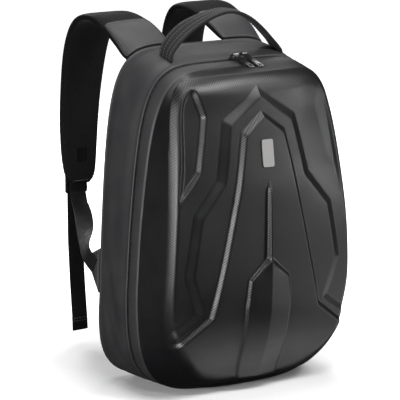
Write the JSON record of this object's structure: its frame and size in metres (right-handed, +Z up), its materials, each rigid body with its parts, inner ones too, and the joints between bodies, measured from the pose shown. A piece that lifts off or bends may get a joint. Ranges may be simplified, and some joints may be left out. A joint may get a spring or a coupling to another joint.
{
  "type": "laptop backpack",
  "caption": "Laptop backpack with a moulded front shell of raised angular plates, padded shoulder straps, a carry handle and a zip round the body.",
  "frame": {"origin": "on the floor under the middle of the side wall, half way between the viewer's left and right", "axes": "+Z up, -Y towards the front shell, +X to the viewer's right when looking at the shell"},
  "size_m": [0.3172, 0.3807, 0.5095],
  "materials": {
    "shell": "matte",
    "smooth": "matte",
    "zip": "matte",
    "padding": "matte",
    "webbing": "matte",
    "plastic": "gloss",
    "metal": "satin"
  },
  "bodies": {
    "bag": {"front_shell": "shell", "lid_band": "smooth", "zip_track": "zip", "gusset": "smooth", "back_panel": "padding", "handle": "smooth", "strap_left": "padding", "strap_right": "padding", "strap_patch_left": "smooth", "strap_patch_right": "smooth", "buckle_left": "plastic", "buckle_right": "plastic", "buckle_loop_left": "webbing", "buckle_loop_right": "webbing", "webbing_left": "webbing", "webbing_right": "webbing", "side_tab_left": "smooth", "side_tab_right": "smooth", "zip_slider_left": "metal", "zip_slider_right": "metal", "badge_plate": "metal"},
    "pull_left": {"zip_pull_left": "metal"},
    "pull_right": {"zip_pull_right": "metal"}
  },
  "joints": [
    {"name": "pull_left_swing", "type": "hinge", "parent": "bag", "child": "pull_left", "pos_m": [0.015, -0.02717, 0.44979], "axis": [-1, 0, 0], "range_deg": [0, 90]},
    {"name": "pull_right_swing", "type": "hinge", "parent": "bag", "child": "pull_right", "pos_m": [0.03, -0.02717, 0.44979], "axis": [-1, 0, 0], "range_deg": [0, 90]}
  ]
}
